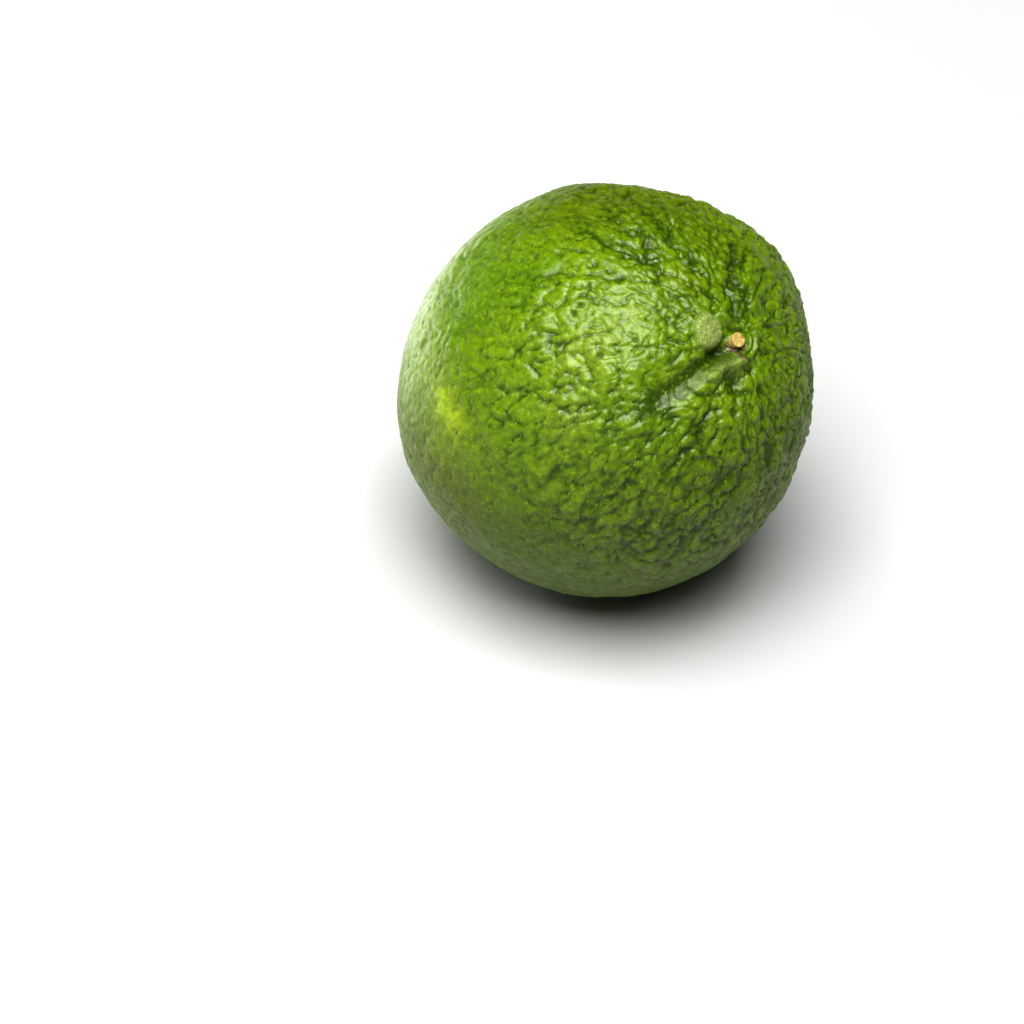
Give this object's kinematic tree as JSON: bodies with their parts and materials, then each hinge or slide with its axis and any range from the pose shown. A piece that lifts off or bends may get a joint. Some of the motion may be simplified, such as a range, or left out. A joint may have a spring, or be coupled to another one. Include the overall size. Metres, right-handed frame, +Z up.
{
  "type": "lime",
  "caption": "Whole fresh lime with puckered glossy green peel, a woody stem stub and a low blossom-end nipple, lying on a small flat spot.",
  "frame": {"origin": "middle of the flat spot that the lime rests on", "axes": "+Z up, out of the surface it rests on; the stem end leans towards +X, 43 degrees above the horizontal"},
  "size_m": [0.0582, 0.0567, 0.0577],
  "materials": {
    "peel": "waxy citrus peel, satin to glossy on the wrinkles, fine oil-gland pores",
    "stem_wood": "dry, matte, broken wood"
  },
  "bodies": {
    "root": {"lime": "peel", "stem_stub": "stem_wood"}
  },
  "joints": []
}
